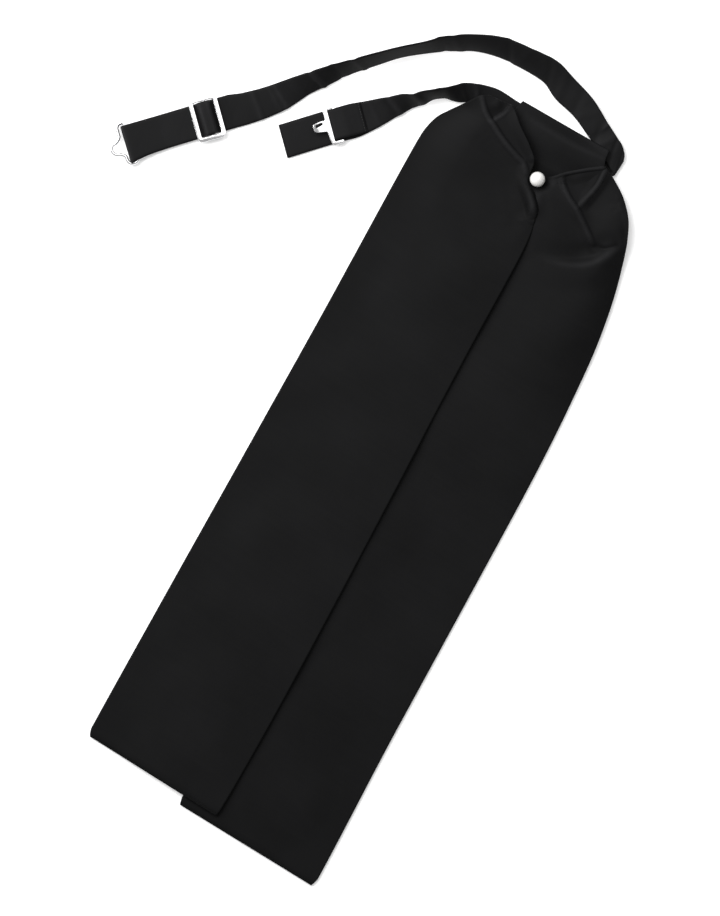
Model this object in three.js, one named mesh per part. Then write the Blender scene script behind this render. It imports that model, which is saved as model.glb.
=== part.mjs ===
// A pre-tied satin ascot, lying flat with its neck band open: two wide blades gathered into a knot under a
// pearl, a collar panel behind the knot, a long and a short neck band, and the metal fastenings on them.
// Lengths are millimetres. +Y runs from the hems to the knot, +X to the right, +Z up from the table.
import * as THREE from "three";

const bladeWall = 1.6; // folded satin with its interlining
const collarWall = 1.2;
const bandWall = 1.2;
const strapWall = 1.0; // the same band where it is pulled tight round the fittings
const gap = 0.3; // air kept between neighbours
const pressed = 1.4; // how much lower still the right blade lies under the left one
const climb = 0.5; // how steeply it may rise past the left blade's edge
const bladeColumns = 19;
const collarColumns = 15;
const bandColumns = 4;
const pearlRadius = 4.2;
const pearlHeight = 7.9; // centre of the pearl above the table
const wireRadius = 1;

const sliderAt = { x: -174.7, y: -56.5, turn: 45.2, skew: -1.2 };
const sliderPlate = { from: -9, to: 7.2, halfAcross: 12.2, bar: 2.5, thick: 1.2, low: 2.6 };
const sliderBar = { at: -0.9, wide: 1.6 };
const eyeAt = { x: -208.55, y: -90, turn: 45.2 };
const hookAt = { x: -116.33, y: -30.22, turn: 43.6 };
const hookPlate = { low: 2.6, thick: 1.2 };
const loopWide = 16.9;
const loopShift = -0.15;

// Rows of a table as objects with the named columns.
function table(columns, rows) {
  return rows.map((row) => Object.fromEntries(columns.map((name, i) => [name, row[i]])));
}

// Left blade, one row per section from the hem up to the gather: both ends, how many steps lead to the
// next section, and how far each end rolls down to the table.
const leftSections = table(
  ["leftX", "leftY", "rightX", "rightY", "steps", "leftRoll", "rightRoll"],
  [
    [-69.4, -386.4, 12.4, -391.2, 1, 1, 0],
    [-71, -382, 13.2, -386, 2, 1, 0],
    [-70.4, -300, 14.5, -300, 2, 1, 0],
    [-69.2, -190, 13.4, -190, 3, 1, 0],
    [-68.5, -100, 12.2, -100, 5, 1, 0],
    [-68.5, -50, 12.3, -50, 4, 1, 0],
    [-68.4, -28, 11.5, -29, 4, 1, 0],
    [-68, -8, 9, -19.6, 4, 1, 0],
    [-65.5, 3, 4, -10.4, 3, 0.9, 0],
    [-61.5, 9.5, -5, -3.5, 3, 0.8, 0],
    [-57, 15.5, -5.8, 7, 3, 0.6, 0],
    [-53.4, 20.4, -13, 14.6, 3, 0.2, 0],
    [-50, 25, -22, 21.2, 3, 0, 0],
    [-45.5, 28, -31, 29.2, 0, 0, 0],
  ],
);

// Right blade, read in the same way.
const rightSections = table(
  ["leftX", "leftY", "rightX", "rightY", "steps", "leftRoll", "rightRoll"],
  [
    [-8, -395.6, 76.6, -400, 1, 0, 1],
    [-9, -391, 78.2, -395, 2, 0, 1],
    [-8.6, -300, 77, -300, 2, 0, 1],
    [-8.5, -190, 77, -190, 3, 0, 1],
    [-8.5, -100, 75.2, -100, 5, 0, 1],
    [-8.5, -58, 72, -60, 4, 0, 1],
    [-8.5, -34, 68, -36, 4, 0, 1],
    [-8.5, -16, 64, -20, 4, 0, 0.85],
    [-7.5, -4, 60, -7.5, 3, 0, 0.5],
    [-3, 3, 55.8, 2, 3, 0, 0.3],
    [5, 4.6, 51.4, 8.4, 3, 0, 0.2],
    [12, 11, 46.5, 13.6, 3, 0, 0.15],
    [20, 17.6, 41.6, 17.4, 3, 0, 0.1],
    [28.4, 24.6, 36, 21, 0, 0, 0],
  ],
);

// Collar panel behind the knot, from its hidden lower edge up to the folded top edge.
const collarSections = table(
  ["leftX", "leftY", "rightX", "rightY", "steps", "leftRoll", "rightRoll"],
  [
    [-8.4, 3.8, 11.5, 4, 3, 0, 0],
    [-18, 13, 18, 12.4, 3, 0, 0],
    [-26.5, 23, 24, 20, 4, 0, 0],
    [-28.6, 31, 27.6, 28, 2, 0, 0],
    [-27.6, 34.4, 27, 33, 0, 0, 0],
  ],
);

// Folds: points on the fold's line with the height it reaches there, and how far the cloth takes to fall
// away to the left and to the right of that line.
const leftFolds = [
  {
    line: [
      [-49.5, 25.5, 6.4],
      [-42, 17.5, 6.6],
      [-30, 11, 6.4],
      [-16, 5.5, 6],
      [-9, 0, 5.4],
      [-2, -8, 4.8],
      [5, -15, 4.2],
      [9, -21, 3.9],
      [12, -36, 3.4],
      [13, -70, 2.7],
      [13, -120, 1.6],
      [13, -170, 0],
    ],
    left: 5,
    right: 65,
  },
  {
    line: [
      [-33, 27.2, 4.8],
      [-22.5, 20, 4.8],
      [-13.5, 13.4, 4.6],
      [-8, 7.6, 4.2],
    ],
    left: 3,
    right: 5,
  },
  {
    line: [
      [-46, 27, 5.2],
      [-38, 28.6, 5],
      [-31, 29, 4.8],
    ],
    left: 3,
    right: 4,
  },
  {
    line: [
      [-62, -18, 2],
      [-30, -44, 2.6],
      [0, -72, 2.2],
    ],
    left: 24,
    right: 24,
  },
];

const rightFolds = [
  {
    line: [
      [4, 4, 4],
      [12, 11, 4.8],
      [22, 18.6, 5.4],
      [28.5, 24, 5.6],
    ],
    left: 3,
    right: 4,
  },
  {
    line: [
      [10, 7, 4.4],
      [14, 3, 5.6],
      [25, -5, 6.4],
      [37, -13, 6.4],
      [44, -17.5, 5.4],
    ],
    left: 5.5,
    right: 52,
  },
  {
    line: [
      [30.8, 22, 5.4],
      [31, 14, 5.4],
      [30, 6, 5.2],
      [27.5, -4, 5],
    ],
    left: 4.5,
    right: 4,
  },
  {
    line: [
      [37, 19.5, 5],
      [46, 8, 5.8],
      [51, -4, 5.8],
    ],
    left: 14,
    right: 6,
  },
  {
    line: [
      [57, -11, 5],
      [52, -21, 6],
      [46, -26, 6],
      [38, -31, 5.6],
      [30, -34, 4.6],
    ],
    left: 50,
    right: 9,
  },
];

const collarFolds = [
  {
    line: [
      [-24, 29, 1.6],
      [-10, 27, 3],
      [8, 25, 3.2],
      [25, 27.6, 3],
    ],
    left: 11,
    right: 13,
  },
  {
    line: [
      [13, 33.4, 1],
      [20, 33, 2.4],
      [27.5, 31.5, 3.4],
    ],
    left: 8,
    right: 8,
  },
];

// Long band from its sewn end, round the knee beside the knot, to the slider.
const bandColumnNames = ["innerX", "innerY", "innerZ", "outerX", "outerY", "outerZ"];
const longBandStations = table(bandColumnNames, [
  [16, 11, 0.6, 17, 26.5, 0.6],
  [26, 16.5, 0.6, 26.5, 32.5, 0.6],
  [33.6, 20.6, 0.6, 33, 35.4, 0.6],
  [35.6, 21.8, 1.1, 35.6, 33.4, 1.1],
  [36.1, 22.4, 1.9, 36.5, 32.4, 1.9],
  [35.3, 23, 2.7, 36, 34.4, 2.7],
  [32.6, 24.4, 3, 33.4, 37.8, 3],
  [24.6, 28.8, 2.6, 27.2, 41.6, 3.2],
  [17.6, 32.2, 1.4, 21, 45, 4.4],
  [12.8, 34.6, 0.9, 19.1, 46, 5.6],
  [0.8, 40.3, 0.7, 6.3, 53.4, 5.2],
  [-12, 43.8, 0.7, -7.6, 58.2, 4],
  [-24.6, 49.3, 0.7, -22.8, 62.3, 7.2],
  [-38.2, 49.8, 0.7, -38.6, 61.4, 9.4],
  [-51.7, 49, 0.7, -54.2, 59.1, 10.8],
  [-64, 45.7, 0.7, -67.7, 53.3, 12.2],
  [-75.5, 39.5, 0.7, -80, 45.9, 12.8],
  [-87, 31.8, 0.7, -90.5, 36.2, 13.6],
  [-97.9, 23.3, 0.7, -101.2, 27.1, 13.9],
  [-107.6, 13.1, 0.7, -111.9, 17.3, 13.5],
  [-117.3, 2.5, 0.7, -122.4, 7.3, 13],
  [-125.8, -9.3, 0.7, -133.2, -2.9, 11.2],
  [-132.4, -18.6, 0.7, -141.8, -11.7, 9.4],
  [-138.4, -29.9, 0.7, -150.3, -20.9, 6.2],
  [-145.7, -40, 0.7, -157.7, -28.7, 3.6],
  [-153.7, -48.9, 0.7, -165.9, -36.1, 1.6],
]);

// Short band from under the collar to where it lies flat, then its cut end beyond the hook.
const shortBandStations = table(bandColumnNames, [
  [-17, 17, 0.6, -17.5, 32.6, 0.6],
  [-30, 17.4, 0.6, -30, 32.8, 0.6],
  [-40, 19, 0.6, -41, 33.6, 1.6],
  [-47.5, 20, 0.6, -50, 32, 4.6],
  [-53.6, 19.4, 0.6, -57.8, 29, 8.6],
  [-58.8, 16.8, 0.6, -63.2, 24.9, 10.6],
  [-65.2, 15.6, 0.6, -68.2, 19.9, 13],
  [-70.4, 12.6, 0.6, -73.6, 15.6, 13],
  [-74, 8.5, 0.6, -78, 12.5, 12.6],
  [-77.4, 3.9, 0.6, -82.7, 8.8, 11.8],
  [-82.6, -3.2, 0.6, -90, 3.8, 9.8],
  [-86.9, -10.8, 0.6, -97.2, -1.8, 4.2],
  [-91.8, -18.6, 0.6, -103.9, -7.3, 0.9],
  [-97.2, -26, 0.6, -110.4, -12.4, 0.6],
  [-103.2, -31.8, 0.6, -116.5, -18.3, 0.6],
  [-126.2, -55.2, 0.6, -139.4, -41.5, 0.6],
]);

// The long band beyond the arc, seen from the side: up over the slider's middle bar, along to the eye,
// round its bar, back underneath and round the middle bar again.
const strapCorners = table(
  ["along", "up", "bend"],
  [
    [13.6, 0.7, 0],
    [8, 1.2, 6],
    [3.7, 1.2, 0.8],
    [1.4, 5.95, 1.5],
    [-3.2, 5.95, 1.5],
    [-5.4, 1.8, 0.8],
    [-38.5, 1.8, 12],
    [-43.5, 4.1, 5],
    [-47.6, 4.1, 1.75],
    [-47.6, 0.5, 1.75],
    [1, 0.5, 1.7],
    [1, 4.6, 1.1],
    [-2.8, 4.6, 1.1],
    [-2.8, 1.8, 1.1],
    [-0.6, 1.8, 0],
  ],
);

// The sewn loop that holds the hook, from its seam round the hook's hidden bar and back.
const loopCorners = table(
  ["along", "up", "bend"],
  [
    [21.8, 1.95, 0],
    [4.1, 1.95, 1.2],
    [4.1, 4.5, 1.2],
    [10, 4.5, 8],
    [18, 3.05, 8],
    [22, 3.05, 0],
  ],
);

// Centre line of the eye's wire in its own plane, from its end hidden in the fold to the open end.
const eyeWire = table(
  ["along", "across"],
  [
    [1.8, -8.4],
    [1.8, 0],
    [1.8, 9.2],
    [0.9, 10.7],
    [-1.3, 10.3],
    [-2.7, 7.6],
    [-2.7, 4],
    [-4.8, 1.2],
    [-8, -0.4],
    [-8.6, -2.6],
    [-7.6, -4.8],
    [-4.4, -6],
    [-2.3, -7.6],
    [-1.9, -10.4],
    [-0.5, -12.2],
    [1.8, -12.4],
    [4, -11.4],
  ],
);

// Outline of the hook's plate: an open frame, its cut beside the lower arm, and the tongue in front.
const hookOutline = table(
  ["along", "across"],
  [
    [0.9, -2.5],
    [0.9, -10],
    [2.2, -11.4],
    [7.6, -11],
    [8.4, -10.2],
    [8.1, -9.3],
    [3.4, -9.4],
    [3.4, 8.8],
    [6, 8.8],
    [6, -8.6],
    [7.8, -8.6],
    [7.8, 9],
    [6.8, 10.2],
    [2.2, 10.2],
    [0.9, 9],
    [0.9, 3],
    [-0.8, 3.5],
    [-2.6, 3.2],
    [-4.4, 2.9],
    [-6.2, 2.3],
    [-6.4, -0.4],
    [-4.6, -1],
    [-2.8, -1.6],
    [-1, -2.1],
  ],
);
const hookSlot = table(
  ["along", "across"],
  [
    [-4.9, 1.9],
    [-3.1, 2.2],
    [-1.2, 2.5],
    [-0.7, 1.4],
    [-2.7, 0.8],
    [-4.8, 0.2],
  ],
);

function smooth(from, to, value) {
  const f = THREE.MathUtils.clamp((value - from) / (to - from), 0, 1);
  return f * f * (3 - 2 * f);
}

// One column of a table at a place between its rows, on a smooth curve through them.
function along(rows, column, place) {
  const last = rows.length - 1;
  const i = Math.min(Math.floor(place), last - 1);
  const f = place - i;
  const [a, b, c, d] = [i - 1, i, i + 1, i + 2].map(
    (k) => rows[THREE.MathUtils.clamp(k, 0, last)][column],
  );
  return b + 0.5 * f * (c - a + f * (2 * a - 5 * b + 4 * c - d + f * (3 * (b - c) + d - a)));
}

// Height that a fold gives at a point: full on its line, nothing past its reach on either side.
function foldRise(fold, x, y) {
  let nearest = Infinity;
  let rise = 0;
  for (let i = 1; i < fold.line.length; i += 1) {
    const [ax, ay, az] = fold.line[i - 1];
    const [bx, by, bz] = fold.line[i];
    const [dx, dy] = [bx - ax, by - ay];
    const f = THREE.MathUtils.clamp(((x - ax) * dx + (y - ay) * dy) / (dx * dx + dy * dy), 0, 1);
    const [ox, oy] = [x - ax - f * dx, y - ay - f * dy];
    const far = Math.hypot(ox, oy);
    if (far < nearest) {
      nearest = far;
      const side = (dx * oy - dy * ox) / (Math.hypot(dx, dy) * Math.max(far, 1e-6));
      const reach = THREE.MathUtils.lerp(fold.right, fold.left, 0.5 + 0.5 * side);
      rise = (az + f * (bz - az)) * (0.5 + 0.5 * Math.cos(Math.PI * Math.min(1, far / reach)));
    }
  }
  return rise;
}

// The highest of several rises, rounded over where two of them meet.
function blend(rises) {
  return Math.pow(
    rises.reduce((sum, rise) => sum + Math.pow(Math.max(0, rise), 4), 0),
    0.25,
  );
}

function leftHeight(x, y) {
  const overRight = 2.3 * smooth(-72, -10, x);
  const overCollar = 3.5 * smooth(-9, 6, y) * smooth(-66, -50, x);
  const folds = blend([overRight, overCollar, ...leftFolds.map((fold) => foldRise(fold, x, y))]);
  return Math.min(folds, dimple(x, y) + 2.1);
}

// Height that the left blade leaves for the right one, which lies under it and rises past its edge.
function underLeft(x, y) {
  const upTo = leftSections.filter((row) => row.rightY <= y).length;
  const next = THREE.MathUtils.clamp(upTo, 1, leftSections.length - 1);
  const [below, above] = [leftSections[next - 1], leftSections[next]];
  const edge = THREE.MathUtils.mapLinear(y, below.rightY, above.rightY, below.rightX, above.rightX);
  const past = Math.max(0, x - edge);
  return leftHeight(Math.min(x, edge), y) - bladeWall - gap - pressed + past * climb;
}

// Height that the cloth keeps round the pearl, where its stitches pull it down.
function dimple(x, y) {
  return 0.9 + 0.45 * Math.hypot(x, y);
}

function rightHeight(x, y) {
  const overCollar = 3.1 * smooth(-6, 4, y) * smooth(60, 42, x);
  const folds = blend([overCollar, ...rightFolds.map((fold) => foldRise(fold, x, y))]);
  return Math.max(0, Math.min(folds, underLeft(x, y), dimple(x, y)));
}

// The collar lies on the bands sewn under it, and on the table below them.
function collarHeight(x, y) {
  const overBands = smooth(2, 10, y);
  const folds = collarFolds.map((fold) => foldRise(fold, x, y) + 0.9 * overBands);
  return blend([1.55 * overBands, ...folds]);
}

// Grid of points over a sheet that spans its sections, raised by its height function.
function panelGrid(sections, columns, wallThickness, height) {
  const grid = [];
  sections.forEach((section, i) => {
    const steps = Math.max(1, section.steps);
    for (let k = 0; k < steps; k += 1) {
      const place = i + k / steps;
      const at = (name) => along(sections, name, place);
      const row = [];
      for (let j = 0; j <= columns; j += 1) {
        const f = j / columns;
        const x = THREE.MathUtils.lerp(at("leftX"), at("rightX"), f);
        const y = THREE.MathUtils.lerp(at("leftY"), at("rightY"), f);
        const roll = at("leftRoll") * smooth(0.2, 0, f) + at("rightRoll") * smooth(0.8, 1, f);
        const z = wallThickness / 2 + height(x, y) * (1 - 0.85 * THREE.MathUtils.clamp(roll, 0, 1));
        row.push(new THREE.Vector3(x, y, z));
      }
      grid.push(row);
    }
  });
  return grid;
}

// Closed sheet of even thickness round a grid of points. Its upper side is the one from which the rows run
// up and the columns run to the right.
function wall(grid, thickness) {
  const rows = grid.length;
  const columns = grid[0].length;
  const upper = [];
  const lower = [];
  for (let i = 0; i < rows; i += 1) {
    for (let j = 0; j < columns; j += 1) {
      const up = grid[Math.min(rows - 1, i + 1)][j].clone().sub(grid[Math.max(0, i - 1)][j]);
      const over = grid[i][Math.min(columns - 1, j + 1)].clone().sub(grid[i][Math.max(0, j - 1)]);
      const offset = over.cross(up).setLength(thickness / 2);
      upper.push(...grid[i][j].clone().add(offset).toArray());
      lower.push(...grid[i][j].clone().sub(offset).toArray());
    }
  }
  const top = (i, j) => i * columns + j;
  const under = (i, j) => rows * columns + i * columns + j;
  const faces = [];
  const quad = (a, b, c, d) => faces.push(a, b, c, a, c, d);
  for (let i = 0; i < rows - 1; i += 1) {
    for (let j = 0; j < columns - 1; j += 1) {
      quad(top(i, j), top(i, j + 1), top(i + 1, j + 1), top(i + 1, j));
      quad(under(i, j), under(i + 1, j), under(i + 1, j + 1), under(i, j + 1));
    }
    quad(under(i, 0), top(i, 0), top(i + 1, 0), under(i + 1, 0));
    quad(top(i, columns - 1), under(i, columns - 1), under(i + 1, columns - 1), top(i + 1, columns - 1));
  }
  for (let j = 0; j < columns - 1; j += 1) {
    quad(under(0, j), under(0, j + 1), top(0, j + 1), top(0, j));
    quad(top(rows - 1, j), top(rows - 1, j + 1), under(rows - 1, j + 1), under(rows - 1, j));
  }
  const geometry = new THREE.BufferGeometry();
  geometry.setAttribute("position", new THREE.Float32BufferAttribute([...upper, ...lower], 3));
  geometry.setIndex(faces);
  return geometry;
}

// Rows of points across a band, from its inner to its outer edge, on a smooth curve through its stations.
function bandGrid(stations, stepsEach) {
  const grid = [];
  const rows = (stations.length - 1) * stepsEach;
  for (let i = 0; i <= rows; i += 1) {
    const place = i / stepsEach;
    const [innerX, innerY, innerZ, outerX, outerY, outerZ] = bandColumnNames.map((name) =>
      along(stations, name, place),
    );
    const inner = new THREE.Vector3(innerX, innerY, Math.max(innerZ, bandWall / 2));
    const outer = new THREE.Vector3(outerX, outerY, Math.max(outerZ, bandWall / 2));
    grid.push(
      Array.from({ length: bandColumns }, (_, j) => inner.clone().lerp(outer, j / (bandColumns - 1))),
    );
  }
  return grid;
}

// Points of a side view path whose corners are rounded to their bend radius.
function bentPath(corners) {
  const points = [];
  corners.forEach((corner, i) => {
    const here = new THREE.Vector2(corner.along, corner.up);
    if (!corner.bend) {
      points.push(here);
      return;
    }
    const back = new THREE.Vector2(corners[i - 1].along, corners[i - 1].up).sub(here).normalize();
    const on = new THREE.Vector2(corners[i + 1].along, corners[i + 1].up).sub(here).normalize();
    const half = Math.acos(THREE.MathUtils.clamp(back.dot(on), -1, 1)) / 2;
    const centre = back.clone().add(on).setLength(corner.bend / Math.sin(half)).add(here);
    const first = here.clone().addScaledVector(back, corner.bend / Math.tan(half)).sub(centre);
    const sweep = (Math.PI - 2 * half) * Math.sign(on.cross(back));
    const steps = Math.max(2, Math.ceil(Math.abs(sweep) / 0.4));
    for (let k = 0; k <= steps; k += 1) {
      points.push(first.clone().rotateAround(new THREE.Vector2(), (sweep * k) / steps).add(centre));
    }
  });
  return points;
}

// Directions of a fitting that lies on a band: along it towards the neck, and across it.
function axesOf(place) {
  const angle = THREE.MathUtils.degToRad(place.turn);
  return {
    forward: new THREE.Vector3(Math.cos(angle), Math.sin(angle), 0),
    across: new THREE.Vector3(-Math.sin(angle), Math.cos(angle), 0),
    origin: new THREE.Vector3(place.x, place.y, 0),
  };
}

// Rows of points across a strap that follows a side view path over a fitting.
function strapGrid(place, path, width, shift) {
  const { forward, across, origin } = axesOf(place);
  return path.map((point) =>
    Array.from({ length: bandColumns }, (_, j) =>
      origin
        .clone()
        .addScaledVector(forward, point.x)
        .addScaledVector(across, shift + width * (j / (bandColumns - 1) - 0.5))
        .setZ(point.y),
    ),
  );
}

// Places a geometry drawn in a fitting's own plane onto the part.
function settle(geometry, place, height) {
  const turn = THREE.MathUtils.degToRad(place.turn + (place.skew ?? 0));
  return geometry.rotateZ(turn).translate(place.x, place.y, height);
}

// Round wire with flat ends along a flat curve.
function wire(points, radius, steps, sides) {
  const curve = new THREE.CatmullRomCurve3(points, false, "centripetal");
  const positions = [];
  const faces = [];
  for (let i = 0; i <= steps; i += 1) {
    const centre = curve.getPointAt(i / steps);
    const forward = curve.getTangentAt(i / steps);
    const sideways = new THREE.Vector3(-forward.y, forward.x, 0);
    for (let j = 0; j < sides; j += 1) {
      const angle = (2 * Math.PI * j) / sides;
      const rim = centre.clone().addScaledVector(sideways, radius * Math.cos(angle));
      positions.push(rim.x, rim.y, rim.z + radius * Math.sin(angle));
    }
  }
  for (let j = 0; j < sides; j += 1) {
    const next = (j + 1) % sides;
    for (let i = 0; i < steps; i += 1) {
      const [a, b] = [i * sides + j, i * sides + next];
      faces.push(a, b, b + sides, a, b + sides, a + sides);
    }
    if (j > 0 && next > 0) {
      faces.push(0, next, j, steps * sides, steps * sides + j, steps * sides + next);
    }
  }
  const geometry = new THREE.BufferGeometry();
  geometry.setAttribute("position", new THREE.Float32BufferAttribute(positions, 3));
  geometry.setIndex(faces);
  return geometry;
}

function roundedRectangle(shape, left, low, right, high, corner) {
  const quarter = Math.PI / 2;
  shape.absarc(right - corner, low + corner, corner, -quarter, 0, false);
  shape.absarc(right - corner, high - corner, corner, 0, quarter, false);
  shape.absarc(left + corner, high - corner, corner, quarter, 2 * quarter, false);
  shape.absarc(left + corner, low + corner, corner, 2 * quarter, 3 * quarter, false);
  return shape;
}

function sliderGeometry() {
  const { from, to, halfAcross, bar, thick } = sliderPlate;
  const innerHalf = halfAcross - bar + 0.3;
  const plate = roundedRectangle(new THREE.Shape(), from, -halfAcross, to, halfAcross, 3);
  const barFrom = sliderBar.at - sliderBar.wide / 2;
  const barTo = sliderBar.at + sliderBar.wide / 2;
  plate.holes.push(
    roundedRectangle(new THREE.Path(), from + bar, -innerHalf, barFrom, innerHalf, 1.2),
    roundedRectangle(new THREE.Path(), barTo, -innerHalf, to - bar, innerHalf, 1.2),
  );
  return new THREE.ExtrudeGeometry(plate, { depth: thick, bevelEnabled: false, curveSegments: 4 });
}

function hookGeometry() {
  const points = (rows) => rows.map((row) => new THREE.Vector2(row.along, row.across));
  const plate = new THREE.Shape(points(hookOutline));
  plate.holes.push(new THREE.Path(points(hookSlot)));
  const geometry = new THREE.ExtrudeGeometry(plate, { depth: hookPlate.thick, bevelEnabled: false });
  const position = geometry.getAttribute("position");
  for (let i = 0; i < position.count; i += 1) {
    const past = Math.max(0, 0.9 - position.getX(i));
    position.setZ(i, position.getZ(i) + 0.035 * past * past);
  }
  return geometry;
}

const group = new THREE.Group();

function add(name, geometry, colour, roughness, metalness) {
  const material = new THREE.MeshStandardMaterial({ color: colour, roughness, metalness });
  const mesh = new THREE.Mesh(geometry, material);
  mesh.name = name;
  group.add(mesh);
}

const satin = "#1c1c1e";
const nickel = "#c9ccd0";

add(
  "left_blade",
  wall(panelGrid(leftSections, bladeColumns, bladeWall, leftHeight), bladeWall),
  satin,
  0.55,
  0,
);
add(
  "right_blade",
  wall(panelGrid(rightSections, bladeColumns, bladeWall, rightHeight), bladeWall),
  satin,
  0.55,
  0,
);
add(
  "collar_panel",
  wall(panelGrid(collarSections, collarColumns, collarWall, collarHeight), collarWall),
  satin,
  0.55,
  0,
);

const strapPath = bentPath(strapCorners);
const longBandGrid = [
  ...bandGrid(longBandStations, 2),
  ...strapGrid(sliderAt, strapPath, 18.8, 0),
];
add("long_band", wall(longBandGrid, strapWall), satin, 0.55, 0);
add("short_band", wall(bandGrid(shortBandStations, 2), bandWall), satin, 0.55, 0);
add(
  "hook_loop",
  wall(strapGrid(hookAt, bentPath(loopCorners), loopWide, loopShift), 0.8),
  satin,
  0.55,
  0,
);
add("slider", settle(sliderGeometry(), sliderAt, sliderPlate.low), nickel, 0.25, 1);
const eyePoints = eyeWire.map((row) => new THREE.Vector3(row.along, row.across, 0));
add("eye", settle(wire(eyePoints, wireRadius, 40, 8), eyeAt, 2.3), nickel, 0.25, 1);
add("hook", settle(hookGeometry(), hookAt, hookPlate.low), nickel, 0.25, 1);
const pearl = new THREE.IcosahedronGeometry(pearlRadius, 5).translate(0, 0, pearlHeight);
add("pearl", pearl, "#f1efea", 0.25, 0);

const box = new THREE.Box3().setFromObject(group);
const centre = box.getCenter(new THREE.Vector3());
group.children.forEach((mesh) => mesh.geometry.translate(-centre.x, -centre.y, -box.min.z));

export default group;
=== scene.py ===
from math import cos, pi, radians, sin, tan

import bmesh
import bpy
import numpy as np
from mathutils import Matrix, Vector


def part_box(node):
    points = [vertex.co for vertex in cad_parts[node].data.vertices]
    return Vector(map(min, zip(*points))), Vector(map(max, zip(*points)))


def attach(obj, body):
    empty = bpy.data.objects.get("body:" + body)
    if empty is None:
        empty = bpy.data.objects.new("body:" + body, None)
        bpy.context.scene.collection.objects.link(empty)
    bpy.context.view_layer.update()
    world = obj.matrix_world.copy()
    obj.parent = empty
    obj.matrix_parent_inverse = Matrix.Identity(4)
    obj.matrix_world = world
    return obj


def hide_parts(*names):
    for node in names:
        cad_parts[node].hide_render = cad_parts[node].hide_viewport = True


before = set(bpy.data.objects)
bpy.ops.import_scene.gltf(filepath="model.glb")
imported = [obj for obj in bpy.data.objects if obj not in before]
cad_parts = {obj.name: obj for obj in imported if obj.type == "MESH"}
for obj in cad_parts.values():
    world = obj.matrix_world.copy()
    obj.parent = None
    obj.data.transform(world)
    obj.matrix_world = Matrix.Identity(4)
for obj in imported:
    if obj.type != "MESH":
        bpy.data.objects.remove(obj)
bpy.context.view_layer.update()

pearlLow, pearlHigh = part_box("pearl")
# The pearl's middle in mm. All shapes below are in mm from it.
origin = ((pearlLow[0] + pearlHigh[0]) * 500, (pearlLow[1] + pearlHigh[1]) * 500)

view = {
    "middle": (-12.3, -180.8),  # what the picture is centred on
    "turn": 28.6,  # degrees that the picture is turned against the blades
    "tall": 503.8,  # mm from its top to its bottom edge
    "lens": 200,
    "far": 20,
}

studio = {
    "world": 0.34,
    "lights": {  # place in mm, width in metres, power in watts
        "softKey": ((-1000, 60, 900), 1.1, 26),
        "softTop": ((-150, 500, 1200), 1.2, 7),
    },
    "aim": (0, -150, 0),
    "floorWidth": 30,
    "floorDrop": 0.0004,
}


def place(x, y, z=0.0):
    return Vector(((x + origin[0]) / 1000, (y + origin[1]) / 1000, z / 1000))


def addObject(name, data):
    made = bpy.data.objects.new(name, data)
    bpy.context.scene.collection.objects.link(made)
    return made


def makeCamera():
    data = bpy.data.cameras.new("overheadCamera")
    data.lens = view["lens"]
    data.clip_end = view["far"]
    camera = addObject("overheadCamera", data)
    camera.location = place(*view["middle"], view["tall"] / data.sensor_width * data.lens)
    camera.rotation_euler = (0, 0, radians(view["turn"]))
    bpy.context.scene.camera = camera


def makeLight(name, where, width, power):
    data = bpy.data.lights.new(name, "AREA")
    data.shape = "RECTANGLE"
    data.size = data.size_y = width
    data.energy = power
    lamp = addObject(name, data)
    lamp.location = place(*where)
    aim = place(*studio["aim"]) - lamp.location
    lamp.rotation_euler = aim.to_track_quat("-Z", "Y").to_euler()


def makeStudio():
    scene = bpy.context.scene
    scene.view_settings.view_transform = "Standard"
    world = bpy.data.worlds.new("paleStudio")
    world.use_nodes = True
    glow = world.node_tree.nodes["Background"]
    glow.inputs["Color"].default_value = (1, 1, 1, 1)
    glow.inputs["Strength"].default_value = studio["world"]
    scene.world = world
    for name, (where, width, power) in studio["lights"].items():
        makeLight(name, where, width, power)
    bpy.ops.mesh.primitive_plane_add(
        size=studio["floorWidth"], location=(0, 0, -studio["floorDrop"])
    )
    floor = bpy.context.object
    floor.name = "studioFloor"
    floor.data.materials.append(paleFloor())


# A value in a node tree that can be added, subtracted and multiplied.
class Link:
    def __init__(self, tree, socket):
        self.tree, self.socket = tree, socket

    def maths(self, operation, *others):
        made = self.tree.nodes.new("ShaderNodeMath")
        made.operation = operation
        for socket, value in zip(made.inputs, (self, *others)):
            setSocket(self.tree, socket, value)
        return Link(self.tree, made.outputs[0])

    def __add__(self, other):
        return self.maths("ADD", other)

    def __mul__(self, other):
        return self.maths("MULTIPLY", other)

    def __sub__(self, other):
        return self.maths("SUBTRACT", other)

    def __rsub__(self, other):
        return (self * -1.0) + other

    __radd__ = __add__
    __rmul__ = __mul__


def setSocket(tree, socket, value):
    if isinstance(value, Link):
        tree.links.new(value.socket, socket)
    else:
        socket.default_value = value


# Sets a node's inputs by name, to values or links.
def fill(tree, node, **inputs):
    for name, value in inputs.items():
        setSocket(tree, node.inputs[name.replace("_", " ")], value)


# Any node: its kind, its settings, and the values or links of its inputs.
def addNode(tree, kind, settings=None, output=0, **inputs):
    made = tree.nodes.new(kind)
    for name, value in (settings or {}).items():
        setattr(made, name, value)
    fill(tree, made, **inputs)
    return Link(tree, made.outputs[output])


def colourOf(tree, red, green, blue):
    return addNode(tree, "ShaderNodeCombineColor", Red=red, Green=green, Blue=blue)


def newMaterial(name, **fixed):
    material = bpy.data.materials.new(name)
    material.use_nodes = True
    tree = material.node_tree
    surface = tree.nodes["Principled BSDF"]
    fill(tree, surface, **fixed)
    return material, tree, surface


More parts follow.
